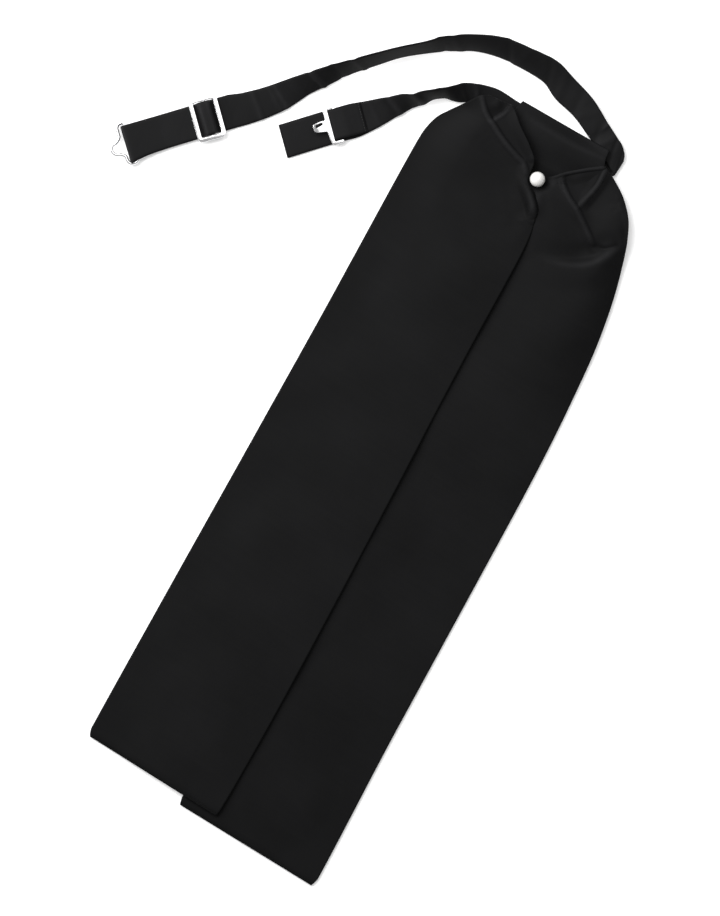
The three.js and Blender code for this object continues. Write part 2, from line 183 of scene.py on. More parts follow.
satins = {  # foldHighlight: how much paler a sharp fold is painted, a painted highlight that stands in for the sheen on fold edges
    "bladeSatin": {
        "tone": 0.0042,
        "weaveAlong": True,
        "roughness": 0.66,
        "sheen": 0.004,
        "shine": 0.08,
        "foldHighlight": 1.6,
    },
    # The blade satin painted paler: painted light that offsets the shade the collar lies in under
    # the blades.
    "collarSatinPaintedLight": {
        "tone": 0.0051,
        "weaveAlong": True,
        "roughness": 0.66,
        "sheen": 0.004,
        "shine": 0.08,
        "foldHighlight": 1.6,
    },
    "bandSatin": {
        "tone": 0.0056,
        "weaveAlong": False,
        "roughness": 0.6,
        "sheen": 0.016,
        "shine": 0.08,
        "foldHighlight": 1.4,
    },
    # The band satin painted paler: painted light for the hook loop, which catches more light than
    # the bands.
    "loopSatinPaintedLight": {
        "tone": 0.0078,
        "weaveAlong": True,
        "roughness": 0.6,
        "sheen": 0.016,
        "shine": 0.08,
        "foldHighlight": 1.4,
    },
}


# Black satin: fine warp floats along the cloth, a faint slub, and a painted highlight that makes
# sharp outward folds paler.
def satin(name):
    part = satins[name]
    material, tree, surface = newMaterial(
        name,
        Sheen_Weight=part["sheen"],
        Sheen_Roughness=0.45,
        Specular_IOR_Level=part["shine"],
    )
    cloth = addNode(tree, "ShaderNodeUVMap", {"uv_map": "cloth"})
    stretch = (900.0, 140.0, 1.0) if part["weaveAlong"] else (140.0, 900.0, 1.0)
    fine = addNode(tree, "ShaderNodeMapping", Vector=cloth, Scale=stretch)
    floats = addNode(tree, "ShaderNodeTexNoise", Vector=fine, Scale=1.6, Detail=2.0)
    broad = addNode(tree, "ShaderNodeTexNoise", Vector=cloth, Scale=20.0, Detail=3.0)
    thick = addNode(tree, "ShaderNodeMapping", Vector=cloth, Scale=(12.0, 220.0, 1.0))
    slub = addNode(tree, "ShaderNodeTexNoise", Vector=thick, Scale=2.0, Detail=1.0)
    fold = addNode(tree, "ShaderNodeAttribute", {"attribute_name": "fold"}, output=2)
    level = part["tone"] * (floats * 0.35 + broad * 1.3 + slub * 0.2 + 0.12)
    # Painted highlight: the base colour is made paler on sharp outward folds, standing in for the
    # sheen that fold edges catch.
    level = level * (1 + part["foldHighlight"] * fold)
    relief = floats * 0.7 + slub * 0.5
    fill(
        tree,
        surface,
        Base_Color=colourOf(tree, level, level, level * 1.06),
        Roughness=floats * 0.1 + broad * 0.12 + (part["roughness"] - 0.11),
        Normal=addNode(tree, "ShaderNodeBump", Height=relief, Strength=0.25, Distance=0.00012),
    )
    return material


def nickelPlate():
    material, tree, surface = newMaterial("nickelPlate", Metallic=1.0)
    where = addNode(tree, "ShaderNodeTexCoord", output=3)
    marks = addNode(tree, "ShaderNodeTexNoise", Vector=where, Scale=900.0, Detail=4.0)
    cloud = addNode(tree, "ShaderNodeTexNoise", Vector=where, Scale=90.0, Detail=2.0)
    level = cloud * 0.08 + 0.86
    fill(
        tree,
        surface,
        Base_Color=colourOf(tree, level, level, level * 1.01),
        Roughness=marks * 0.14 + 0.1,
        Normal=addNode(tree, "ShaderNodeBump", Height=marks, Strength=0.12, Distance=0.00005),
    )
    return material


def pearlNacre():
    material, tree, surface = newMaterial(
        "pearlNacre", Coat_Weight=0.8, Coat_Roughness=0.05, Specular_IOR_Level=0.6
    )
    where = addNode(tree, "ShaderNodeTexCoord", output=3)
    cloud = addNode(tree, "ShaderNodeTexNoise", Vector=where, Scale=260.0, Detail=3.0)
    level = cloud * 0.08 + 0.76
    colour = colourOf(tree, level, level * 0.985, level * 0.96)
    fill(tree, surface, Base_Color=colour, Roughness=cloud * 0.12 + 0.12)
    return material


def sewingThread():
    material, tree, surface = newMaterial("sewingThread", Sheen_Weight=0.2)
    where = addNode(tree, "ShaderNodeTexCoord", output=3)
    twist = addNode(tree, "ShaderNodeTexNoise", Vector=where, Scale=4000.0, Detail=1.0)
    level = twist * 0.01 + 0.012
    colour = colourOf(tree, level, level, level)
    fill(tree, surface, Base_Color=colour, Roughness=twist * 0.2 + 0.4)
    return material


def paleFloor():
    return newMaterial(
        "paleFloor",
        Base_Color=(0.95, 0.95, 0.95, 1),
        Roughness=0.9,
        Specular_IOR_Level=0.1,
        Emission_Color=(1, 1, 1, 1),
        Emission_Strength=0.25,
    )[0]


def table(columns, rows):
    return {name: np.array([row[i] for row in rows], float) for i, name in enumerate(columns)}


def smooth(low, high, value):
    f = np.clip((value - low) / (high - low), 0, 1)
    return f * f * (3 - 2 * f)


# A table's column at places between its rows, on a smooth curve that allows for their spacing.
def along(rows, column, places, apart):
    values = rows[column]
    i = np.minimum(places.astype(int), len(values) - 2)
    f = places - i
    slope = np.diff(values) / apart
    inner = (slope[:-1] * apart[1:] + slope[1:] * apart[:-1]) / (apart[:-1] + apart[1:])
    most = 3 * np.minimum(abs(slope[:-1]), abs(slope[1:])) * (slope[:-1] * slope[1:] > 0)
    inner = np.clip(inner, -most, most)
    tangent = np.concatenate([slope[:1], inner, slope[-1:]])
    a, b = values[i], values[i + 1]
    p, q = tangent[i] * apart[i], tangent[i + 1] * apart[i]
    return a + f * p + f * f * (3 * (b - a) - 2 * p - q) + f**3 * (2 * (a - b) + p + q)


# How far apart a table's rows lie, from the columns that hold places.
def spans(rows, *columns):
    return np.sqrt(sum(np.diff(rows[name]) ** 2 for name in columns)) + 1e-6


# Height that a fold gives: full on its line, nothing past its reach on either side.
def foldRise(fold, x, y):
    line = softLine(fold["line"])
    nearest = np.full(x.shape, np.inf)
    reach = np.ones(x.shape)
    weights = heights = 0
    for (ax, ay, az), (bx, by, bz) in zip(line[:-1], line[1:]):
        dx, dy = bx - ax, by - ay
        f = np.clip(((x - ax) * dx + (y - ay) * dy) / (dx * dx + dy * dy), 0, 1)
        ox, oy = x - ax - f * dx, y - ay - f * dy
        far = np.hypot(ox, oy)
        side = (dx * oy - dy * ox) / (np.hypot(dx, dy) * np.maximum(far, 1e-6))
        here = fold["right"] + (fold["left"] - fold["right"]) * (0.5 + 0.5 * side)
        reach = np.where(far < nearest, here, reach)
        nearest = np.minimum(nearest, far)
        weight = (far**2 + 0.3) ** -3
        weights, heights = weights + weight, heights + weight * (az + f * (bz - az))
    return heights / weights * (0.5 + 0.5 * np.cos(pi * np.minimum(1, nearest / reach)))


# The line of a fold, moved to its left by that many mm.
def beside(line, aside):
    points = np.array(line, float)
    run = np.gradient(points[:, :2], axis=0)
    run /= np.linalg.norm(run, axis=1, keepdims=True)
    points[:, 0] -= run[:, 1] * aside
    points[:, 1] += run[:, 0] * aside
    return points.tolist()


# A pressed fold edge: a crisp ridge, with the lower cloth sinking in beside it.
def lapRise(lap, x, y):
    ridge = foldRise({"line": lap["line"], "left": lap["left"], "right": lap["right"]}, x, y)
    aside, sink, near, far = lap["sink"]
    left, right = (far, near) if aside > 0 else (near, far)
    trough = foldRise({"line": beside(lap["line"], aside), "left": left, "right": right}, x, y)
    return ridge - sink * trough


# Depth of a pocket with that outline: none at its rim, full a short way inside.
def pocketDepth(pocket, x, y):
    outline = pocket["outline"]
    inside = np.zeros(x.shape, bool)
    nearest = np.full(x.shape, np.inf)
    for (ax, ay), (bx, by) in zip(outline, outline[1:] + outline[:1]):
        dx, dy = bx - ax, by - ay
        f = np.clip(((x - ax) * dx + (y - ay) * dy) / (dx * dx + dy * dy), 0, 1)
        nearest = np.minimum(nearest, np.hypot(x - ax - f * dx, y - ay - f * dy))
        crosses = (ay > y) != (by > y)
        inside ^= crosses & (x < ax + (y - ay) * dx / (dy if dy else 1e-9))
    return pocket["depth"] * np.where(inside, smooth(0, pocket["soft"], nearest), 0)


# A fold's line with more points, on a smooth curve.
def softLine(points, each=4):
    rows = table(("x", "y", "z"), points)
    places = np.linspace(0, len(points) - 1, (len(points) - 1) * each + 1)
    apart = spans(rows, "x", "y")
    return np.stack([along(rows, name, places, apart) for name in ("x", "y", "z")], 1)


# Evens out a grid of heights, so that broad puffs have no crease.
def soften(height, steps):
    kernel = np.exp(-0.5 * (np.arange(-3 * steps, 3 * steps + 1) / steps) ** 2)
    kernel /= kernel.sum()
    for axis in (0, 1):
        wide = [(0, 0), (0, 0)]
        wide[axis] = (3 * steps, 3 * steps)
        padded = np.pad(height, wide, mode="reflect", reflect_type="odd")
        height = np.apply_along_axis(np.convolve, axis, padded, kernel, "valid")
    return height


def blend(rises, power=5):
    return sum(np.maximum(0, rise) ** power for rise in rises) ** (1 / power)


# Where across a panel its rolled sides start and are full, and the share of height that they lose.
sideRoll = {"left": (0.34, 0), "right": (0.699, 0.999), "most": 0.85}


# Grid of points over a panel that spans its sections.
def panelGrid(sections, across, spacing, wall, height):
    places = []
    last = len(sections["leftX"]) - 1
    for i in range(last):
        leftRise, rightRise = np.diff(sections["leftY"])[i], np.diff(sections["rightY"])[i]
        steps = max(2, int(max(abs(leftRise), abs(rightRise)) / spacing(i)) + 1)
        places += [i + k / steps for k in range(steps)]
    places = np.array(places + [last])
    turn = 0.47 * pi  # columns lie closer together towards both sides
    f = np.sin(np.linspace(-turn, turn, across + 1)) / sin(turn) * 0.5 + 0.5
    apart = spans(sections, "leftX", "leftY", "rightX", "rightY")
    ends = {name: along(sections, name, places, apart)[:, None] for name in sections}
    x = ends["leftX"] + (ends["rightX"] - ends["leftX"]) * f
    y = ends["leftY"] + (ends["rightY"] - ends["leftY"]) * f
    low, high = sideRoll["right"]
    roll = ends["rightRoll"] * np.clip((f - low) / (high - low), 0, 1) ** 3
    roll = roll + ends["leftRoll"] * smooth(*sideRoll["left"], f)
    z = wall / 2 + height(x, y) * (1 - sideRoll["most"] * np.clip(roll, 0, 1))
    return np.stack([x, y, z], 2)


def unitNormals(grid):
    up = np.gradient(grid, axis=0)
    over = np.gradient(grid, axis=1)
    normal = np.cross(over, up)
    return normal / np.maximum(np.linalg.norm(normal, axis=2, keepdims=True), 1e-9)


foldHighlightRange = {"least": 0.06, "range": 0.3}  # bend per mm where the painted fold highlight starts, and from there to full


# How sharply the cloth folds outwards at each point, from 0 to 1, as the mask of the painted
# highlight on its fold edges.
def foldHighlightMask(grid, normal):
    outwardBend = 0
    for axis in (0, 1):
        step = np.gradient(grid, axis=axis)
        turn = np.gradient(normal, axis=axis)
        outwardBend = outwardBend + (step * turn).sum(2) / np.maximum((step * step).sum(2), 0.02)
    return soften(np.clip((outwardBend - foldHighlightRange["least"]) / foldHighlightRange["range"], 0, 1), 1)


# Closed cloth round a grid of points in mm, thinning to a rounded rim over the last stretch.
def clothMesh(name, grid, wall, finish):
    rows, columns = grid.shape[:2]
    normal = unitNormals(grid)
    steps = np.linalg.norm(np.diff(grid, axis=1), axis=2)
    width = np.concatenate([np.zeros((rows, 1)), np.cumsum(steps, 1)], 1)
    steps = np.linalg.norm(np.diff(grid, axis=0), axis=2)
    length = np.concatenate([np.zeros((1, columns)), np.cumsum(steps, 0)], 0)
    rim = wall / 2
    edges = [width, width[:, -1:] - width, length, length[-1:] - length]
    into = np.clip(1 - np.minimum.reduce(edges) / rim, 0, 1)
    half = np.sqrt(np.maximum(1 - into**2, 0.06))[:, :, None] * rim
    upper, lower = grid + normal * half, grid - normal * half
    points = np.concatenate([upper.reshape(-1, 3), lower.reshape(-1, 3)])
    points[:, 0] += origin[0]
    points[:, 1] += origin[1]
    index = np.arange(rows * columns).reshape(rows, columns)
    under = index + rows * columns
    quads = [
        np.stack([index[:-1, :-1], index[:-1, 1:], index[1:, 1:], index[1:, :-1]], 2),
        np.stack([under[:-1, :-1], under[1:, :-1], under[1:, 1:], under[:-1, 1:]], 2),
        np.stack([under[:-1, 0], index[:-1, 0], index[1:, 0], under[1:, 0]], 1),
        np.stack([index[:-1, -1], under[:-1, -1], under[1:, -1], index[1:, -1]], 1),
        np.stack([under[0, :-1], under[0, 1:], index[0, 1:], index[0, :-1]], 1),
        np.stack([index[-1, :-1], index[-1, 1:], under[-1, 1:], under[-1, :-1]], 1),
    ]
    faces = np.concatenate([part.reshape(-1, 4) for part in quads])
    mesh = bpy.data.meshes.new(name)
    mesh.from_pydata((points / 1000).tolist(), [], faces.tolist())
    mesh.polygons.foreach_set("use_smooth", [True] * len(faces))
    cloth = mesh.uv_layers.new(name="cloth")
    flat = np.stack([width, length], 2).reshape(-1, 2) / 1000
    flat = np.concatenate([flat, flat])
    cloth.data.foreach_set("uv", flat[faces.reshape(-1)].reshape(-1))
    # The fold attribute is the mask of the painted highlight on sharp outward folds.
    fold = mesh.attributes.new("fold", "FLOAT", "POINT")
    fold.data.foreach_set("value", np.tile(foldHighlightMask(grid, normal).reshape(-1), 2))
    mesh.materials.append(finish)
    mesh.update()
    return addObject(name, mesh)


waves = {"count": 7, "sizes": (38, 110)}  # in mm


# Slow uneven waves of cloth that was laid down by hand.
def ripple(x, y, height, seed):
    chance = np.random.default_rng(seed)
    total = np.zeros(x.shape)
    for k in range(waves["count"]):
        turn = chance.uniform(0, pi)
        size = chance.uniform(*waves["sizes"])
        shift = chance.uniform(0, 6.28)
        total += np.sin((x * cos(turn) + y * sin(turn)) * 2 * pi / size + shift)
    return height * total / 3


def dress(piece, node):
    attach(piece, "root")
    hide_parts(node)
    return piece


sectionColumns = ("leftX", "leftY", "rightX", "rightY", "leftRoll", "rightRoll")

bladeRows = {"plain": 4, "gather": 0.9, "plainSections": 4}  # spacing of a blade's grid in mm


def bladeSpacing(section):
    return bladeRows["plain" if section < bladeRows["plainSections"] else "gather"]


leftBlade = {
    "wall": 1.6,
    "across": 110,
    "flat": (0.086, 0.43),
    "sections": table(
        sectionColumns,
        [
            [-69.4, -386.4, 12.4, -391.2, 1, 0],
            [-71, -382, 13.2, -386, 1, 0],
            [-70.4, -300, 14.5, -300, 1, 0],
            [-69.2, -190, 13.4, -190, 1, 0],
            [-68.5, -100, 12.2, -100, 1, 0],
            [-68.5, -50, 12.3, -50, 1, 0],
            [-68.4, -28, 11.5, -29, 1, 0],
            [-68, -8, 9.4, -19.7, 1, 0],
            [-65.5, 3, 6, -10, 0.9, 0],
            [-61.5, 9.5, -4.4, -3.2, 0.8, 0],
            [-57, 15.5, -5.8, 7.4, 0.6, 0],
            [-53.4, 20.4, -13, 14.6, 0.2, 0],
            [-50, 25, -22, 21.2, 0, 0],
            [-45.5, 28, -31, 29.2, 0, 0],
        ],
    ),
    "puffs": [
        {
            "line": [
                (-49.5, 25.5, 6.4),
                (-42, 17.5, 6.6),
                (-30, 11, 6.4),
                (-16, 5.5, 6),
                (-9, 0, 5.4),
                (-2, -8, 4.8),
                (5, -15, 4.2),
                (9, -21, 3.9),
                (12, -36, 3.4),
                (13, -70, 2.7),
                (13, -120, 1.6),
                (13, -170, 0),
            ],
            "left": 62,
            "right": 62,
        },
        {"line": [(-62, -18, 2), (-30, -44, 2.6), (0, -72, 2.2)], "left": 24, "right": 24},
    ],
    "laps": [  # sink: how far beside, how deep against the ridge, reach towards it and past it
        {
            "line": [
                (-48.4, 25.2, 0.4),
                (-42.6, 18.9, 1.3),
                (-34.4, 14.1, 1.5),
                (-26.2, 9.8, 1.5),
                (-16.5, 6.1, 1.3),
                (-11, 4.4, 1),
                (-7.4, 0.7, 0.5),
            ],
            "left": 1.5,
            "right": 2.6,
            "sink": (2.3, 0.6, 2.3, 6),
        },
        {
            "line": [
                (-8.6, 1.5, 0.6),
                (-6, -3.4, 1.2),
                (0.4, -9.4, 2.6),
                (5.4, -14.4, 3.4),
                (8.8, -19.6, 0.8),
            ],
            "left": 3,
            "right": 5,
            "sink": (-6, 0.25, 4, 10),
        },
        {
            "line": [(-31.6, 28.2, 0.4), (-33.4, 22.6, 0.7), (-36.2, 17.4, 0.4)],
            "left": 1.6,
            "right": 0.9,
            "sink": (-1.4, 2.4, 1.2, 7.5),
        },
    ],
    "rolls": [  # broader ridges, and grooves with a negative height
        {
            "line": [(-31, 28.6, 0.3), (-26.4, 24.8, 1.8), (-17.2, 18, 2.3), (-8.6, 11, 1.6)],
            "left": 1.6,
            "right": 6.5,
        },
        {
            "line": [(-40, 8, -0.5), (-27, 1, -1.3), (-14, -11, -1.3), (-3, -28, -0.6)],
            "left": 10,
            "right": 20,
        },
    ],
    "overRight": 2.3,  # mm that it is lifted by the right blade, and by the collar
    "overCollar": 3.5,
    "rippleSeed": 5,
    "fromDimple": 2.1,  # mm that it may stand above the dimple
}

# Height that the cloth keeps round the pearl, whose stitches pull it down.
pull = {"middle": 0.9, "slope": 0.45, "curve": 0.012}


def dimple(x, y):
    far = np.hypot(x, y)
    return pull["middle"] + pull["slope"] * far + pull["curve"] * far**2


# The broad height of a blade with its ridges, before anything presses it down.
def bladeRise(part, lifts, x, y):
    height = blend(lifts + [foldRise(puff, x, y) for puff in part["puffs"]])
    height = np.maximum(soften(height, 4), 0) + ripple(x, y, 0.4, part["rippleSeed"])
    height = height + sum(foldRise(roll, x, y) for roll in part["rolls"])
    return height + sum(lapRise(lap, x, y) for lap in part["laps"])


def leftHeight(x, y):
    part = leftBlade
    overRight = part["overRight"] * smooth(-72, -10, x)
    overCollar = part["overCollar"] * smooth(-9, 6, y) * smooth(-66, -50, x)
    height = bladeRise(part, [overRight, overCollar], x, y)
    return np.minimum(height, dimple(x, y) + part["fromDimple"])


def makeLeftBlade(finish):
    part = leftBlade
    grid = panelGrid(
        part["sections"], part["across"], bladeSpacing, part["wall"], leftHeight
    )
    piece = dress(clothMesh("leftBladeCloth", grid, part["wall"], finish), "left_blade")
    print("left blade made")


rightBlade = {
    "wall": 1.6,
    "across": 110,
    "flat": (0.088, 0.43),
    "sections": table(
        sectionColumns,
        [
            [-8, -395.6, 76.6, -400, 0, 1],
            [-9, -391, 78.2, -395, 0, 1],
            [-8.6, -300, 77, -300, 0, 1],
            [-8.5, -190, 77, -190, 0, 1],
            [-8.5, -100, 75.2, -100, 0, 1],
            [-8.5, -58, 72, -60, 0, 1],
            [-8.5, -34, 68, -36, 0, 1],
            [-8.5, -16, 64, -20, 0, 0.85],
            [-8, -4, 60, -7.5, 0, 0.5],
            [-5.5, 1.5, 55.8, 2, 0, 0.3],
            [5, 4.6, 51.4, 8.4, 0, 0.2],
            [12, 11, 46.5, 13.6, 0, 0.15],
            [20, 17.6, 41.6, 17.4, 0, 0.1],
            [28.4, 24.6, 36, 21, 0, 0],
        ],
    ),
    "puffs": [
        {
            "line": [
                (11.9, 6.5, 5.6),
                (18.7, -0.2, 6),
                (27.5, -4.9, 6.2),
                (35.8, -10.5, 6),
                (43.6, -15.7, 5.6),
                (52, -30, 5.2),
                (56, -60, 4),
                (60, -100, 2),
                (60, -150, 0),
            ],
            "left": 56,
            "right": 56,
        },
    ],
    "laps": [
        {
            "line": [
                (10.4, 8.8, 0.3),
                (12.3, 6, 0.9),
                (15.6, 2.6, 1.2),
                (20.4, -0.8, 1.3),
                (26.6, -4, 1.2),
                (32.8, -8.3, 1.1),
                (38.5, -12.4, 0.9),
                (43.8, -16.4, 0.5),
            ],
            "left": 1.3,
            "right": 2,
            "sink": (2, 0.85, 2, 9),
        },
        {
            "line": [
                (30.6, 22.6, 0.4),
                (30.8, 15.2, 1.2),
                (29.8, 8, 1.3),
                (28.4, 2, 1.2),
                (26.9, -3.6, 0.3),
            ],
            "left": 1.2,
            "right": 1.5,
            "sink": (5, 1.2, 5, 13.5),
        },
        {
            "line": [
                (25, -38.6, 0.3),
                (39, -33.6, 1),
                (48.4, -27.6, 1.4),
                (54, -20.6, 1.2),
                (57.6, -14.4, 0.7),
            ],
            "left": 6,
            "right": 15,
            "sink": (5.4, 1, 5, 10),
        },
    ],
    "rolls": [
        {
            "line": [(6, 4.4, 0.1), (12, 10.3, 0.7), (20, 16.9, 0.8), (29, 23.4, 0.6)],
            "left": 1.2,
            "right": 1.6,
        },
        {
            "line": [(44, -17, -0.5), (50, -16, -0.9), (55.4, -11.4, -0.5)],
            "left": 2.4,
            "right": 2.8,
        },
        {
            "line": [
                (11, -5, -0.2),
                (20, -8, -1.1),
                (29, -13, -1.7),
                (39, -20, -1.7),
                (45, -24, -0.5),
            ],
            "left": 6,
            "right": 16,
        },
        {
            "line": [(43.6, 10, 1.2), (52.6, 1.6, 3.4), (57.6, -7, 3.7), (59.4, -13, 1.4)],
            "left": 6,
            "right": 17,
        },
        {"line": [(2, -7, 0.3), (5, -10, 0.8), (9.5, -17, 0.2)], "left": 6, "right": 3},
    ],
    "pocket": {
        "outline": [
            (14, 7.6),
            (20, 14),
            (28, 20),
            (29.6, 10),
            (28.8, 2),
            (27, -2.6),
            (21, 0.6),
            (16.6, 4),
        ],
        "depth": 0.6,
        "soft": 5,
    },
    "overCollar": 3.1,  # mm that it is lifted by the collar
    "rippleSeed": 9,
    "room": 1.9,  # mm between this cloth and the left blade over it, middle to middle
    "deepRoom": 1.2,  # more of it below the pearl, where the edge stands up
    "climb": 0.5,  # how steeply it may rise past the left blade's edge
    "steeper": 0.7,  # more of it beside the pearl
    "ease": 0.6,  # how softly it bends from its own height to the most it may have
}


# Height that the left blade leaves for the right one, which lies under it.
def underLeft(x, y):
    part, edge = rightBlade, leftBlade["sections"]
    edgeX = np.interp(-y, -edge["rightY"], edge["rightX"])
    past = np.maximum(0, x - edgeX)
    room = part["room"] + part["deepRoom"] * smooth(-14, -26, y) * smooth(-130, -70, y)
    climb = part["climb"] + part["steeper"] * smooth(-14, -6, y)
    return leftHeight(np.minimum(x, edgeX), y) - room + climb * past


def rightHeight(x, y):
    part = rightBlade
    overCollar = part["overCollar"] * smooth(-6, 4, y) * smooth(60, 42, x)
    height = bladeRise(part, [overCollar], x, y) - pocketDepth(part["pocket"], x, y)
    most = np.minimum(underLeft(x, y), dimple(x, y))
    lower = 0.5 * (height + most - np.sqrt((height - most) ** 2 + part["ease"]))
    return np.maximum(0, lower)


def makeRightBlade(finish):
    part = rightBlade
    grid = panelGrid(
        part["sections"], part["across"], bladeSpacing, part["wall"], rightHeight
    )
    piece = dress(clothMesh("rightBladeCloth", grid, part["wall"], finish), "right_blade")
    print("right blade made")


collarPanel = {
    "wall": 1.2,
    "across": 70,
    "flat": (0.061, 0.034),
    "area": 0.0018,
    "sections": table(
        sectionColumns,
        [
            [-14, 2.4, 18, 1.4, 0, 0],
            [-25, 9, 26.5, 8.5, 0, 0],
            [-30.5, 17, 30, 15.5, 0, 0],
            [-30, 25, 29.4, 22.5, 0, 0],
            [-28.6, 31, 27.6, 28, 0, 0],
            [-27.6, 34.4, 27, 33, 0, 0],
        ],
    ),
    "folds": [
        {
            "line": [(-24, 26.4, 1.8), (-10, 25.4, 3.4), (8, 24.8, 4), (25, 26.4, 4)],
            "left": 11,
            "right": 20,
        },
        {"line": [(13, 33.4, 1), (20, 33, 2.4), (27.5, 31.5, 3.4)], "left": 8, "right": 8},
    ],
    "overBands": 1.55,  # mm that it is lifted by the bands
    "rolled": 0.9,  # more where it is rolled
    "rows": 0.5,
}


# The collar lies on the bands sewn under it, and on the table below them.
def collarHeight(x, y):
    part, over = collarPanel, smooth(2, 10, y)
    folds = [foldRise(fold, x, y) + part["rolled"] * over for fold in part["folds"]]
    return blend([part["overBands"] * over] + folds, 4)


def makeCollarPanel(finish):
    part = collarPanel
    grid = panelGrid(
        part["sections"], part["across"], lambda i: part["rows"], part["wall"], collarHeight
    )
    piece = dress(clothMesh("collarPanelCloth", grid, part["wall"], finish), "collar_panel")
    print("collar panel made")


bandColumns = ("innerX", "innerY", "innerZ", "outerX", "outerY", "outerZ", "bow")

longBand = {
    "creases": [  # station, height, width and slant in mm
        (5.2, -0.3, 1.6, 4),
        (6.6, -0.4, 1.8, 5),
        (7.4, 0.25, 2, -5),
        (8.1, -0.3, 2.4, -5),
        (8.8, -0.3, 2.2, 7),
        (9.7, 0.2, 2.6, -4),
        (10.3, -0.3, 2.4, 6),
        (11.2, 0.35, 2.6, 6),
        (11.9, -0.4, 2, 8),
        (13.1, 0.3, 2.4, -6),
        (13.6, -0.5, 1.8, 5),
        (15.7, 0.5, 2.4, 4),
        (16.3, -0.5, 1.8, 3),
        (19.6, 0.6, 1.6, 5),
        (20.5, -0.5, 1.6, 4),
        (21.35, 1, 1.3, 5),
        (22.2, -0.3, 2.2, 5),
        (22.8, -0.3, 2, 2),
        (23.2, 1, 1.2, 2),
        (23.5, 0.7, 1.6, 2),
        (24.4, 0.7, 1.6, 1),
    ],
    "wall": 1.2,
    "flat": (0.019, 0.42),
    "across": 22,
    "each": 12,
    "stations": table(
        bandColumns,
        [
            [16, 11, 0.6, 17, 26.5, 0.6, 0],
            [26, 16.5, 0.6, 26.5, 32.5, 0.6, 0],
            [33.6, 20.6, 0.6, 33, 35.4, 0.6, 0],
            [35.6, 21.8, 1.1, 35.6, 33.4, 1.1, 0],
            [36.1, 22.4, 1.6, 36.5, 32.4, 1.6, 0],
            [35.3, 23, 2.1, 36, 34.4, 2.1, 0],
            [32.6, 24.4, 2.5, 33.4, 37.8, 2.5, 0],
            [24.6, 28.8, 2.6, 27.2, 41.6, 3.2, 0.4],
            [17.6, 32.2, 2.2, 21, 45, 3.4, 0.4],
            [12.8, 34.6, 2.4, 19.1, 46, 3.6, 0.4],
            [0.8, 40.3, 1.8, 6.3, 53.4, 3.2, 0.5],
            [-12, 43.8, 0.9, -7.6, 58.2, 3.6, 0.8],
            [-24.6, 49.3, 0.7, -22.8, 62.3, 7.2, 1],
            [-38.2, 49.8, 0.7, -38.6, 61.4, 9.4, 1],
            [-51.7, 49, 0.7, -54.2, 59.1, 10.8, 0.6],
            [-64, 45.7, 0.7, -67.7, 53.3, 12.2, 0.6],
            [-75.5, 39.5, 0.7, -80, 45.9, 12.8, 0.6],
            [-87, 31.8, 0.7, -90.5, 36.2, 13.6, 0.2],
            [-97.9, 23.3, 0.7, -101.2, 27.1, 13.9, 0.2],
            [-107.6, 13.1, 0.7, -111.9, 17.3, 13.2, 0.2],
            [-117.3, 2.5, 0.7, -122.4, 7.3, 12.2, 0.2],
            [-125.8, -9.3, 0.7, -133.2, -2.9, 8.4, 0.4],
            [-132.4, -18.6, 0.7, -141.8, -11.7, 5.4, 0.4],
            [-138.4, -29.9, 0.7, -150.3, -20.9, 3.4, 0.3],
            [-145.7, -40, 0.7, -157.7, -28.7, 2, 0.2],
            [-153.7, -48.9, 0.7, -165.9, -36.1, 1.2, 0.1],
        ],
    ),
}

shortBand = {
    "creases": [
        (3.4, 0.5, 2, 4),
        (4.2, -0.6, 1.8, 5),
        (5.4, 0.2, 2.2, -3),
        (6.3, -0.25, 2.2, 3),
        (8.6, 0.9, 2.7, 5),
        (9.5, -0.3, 1.8, 4),
        (10.3, 1, 2.7, 4),
        (11.7, 0.5, 2.4, 2),
    ],
    "wall": 1.2,
    "flat": (0.019, 0.17),
    "across": 22,
    "each": 12,
    "stations": table(
        bandColumns,
        [
            [-17, 17, 0.6, -17.5, 32.6, 0.6, 0],
            [-30, 17.4, 0.6, -30, 32.8, 0.6, 0],
            [-40, 19, 0.6, -41, 33.6, 1.2, 0.2],
            [-47.5, 20, 0.6, -50, 32, 2.8, 0.4],
            [-53.6, 19.4, 0.6, -57.8, 29, 5.2, 0.5],
            [-58.8, 16.8, 0.6, -63.2, 24.9, 8.4, 0.5],
            [-65.2, 15.6, 0.6, -68.2, 19.9, 11.8, 0.5],
            [-70.4, 12.6, 0.6, -73.6, 15.6, 12.6, 0.5],
            [-74, 8.5, 0.6, -78, 12.5, 11.6, 0.4],
            [-77.4, 3.9, 0.6, -82.7, 8.8, 9.6, 0.4],
            [-82.6, -3.2, 0.6, -90, 3.8, 6.2, 0.3],
            [-86.9, -10.8, 0.6, -97.2, -1.8, 2.6, 0.2],
            [-91.8, -18.6, 0.6, -103.9, -7.3, 0.9, 0],
            [-97.2, -26, 0.6, -110.4, -12.4, 0.6, 0],
            [-103.2, -31.8, 0.6, -116.5, -18.3, 0.6, 0],
            [-126.2, -55.2, 0.6, -139.4, -41.5, 0.6, 0],
        ],
    ),
}

strap = {
    "wall": 1.0,
    "width": 18.8,
    "at": (-174.7, -56.5),
    "turn": 45.2,
    "flare": (2.7, 7),
    "corners": table(  # side view: distance along, height, bend radius
        ("along", "up", "bend"),
        [
            [13.6, 0.7, 0],
            [8, 1.2, 6],
            [3.7, 1.2, 0.8],
            [1.4, 5.95, 1.5],
            [-3.2, 5.95, 1.5],
            [-5.4, 1.8, 0.8],
            [-27, 1.8, 20],
            [-47.6, 4.1, 0.8],
            [-47.6, 0.5, 0.8],
            [1, 0.5, 1.7],
            [1, 4.6, 1.1],
            [-2.8, 4.6, 1.1],
            [-2.8, 1.8, 1.1],
            [-0.6, 1.8, 0],
        ],
    ),
}


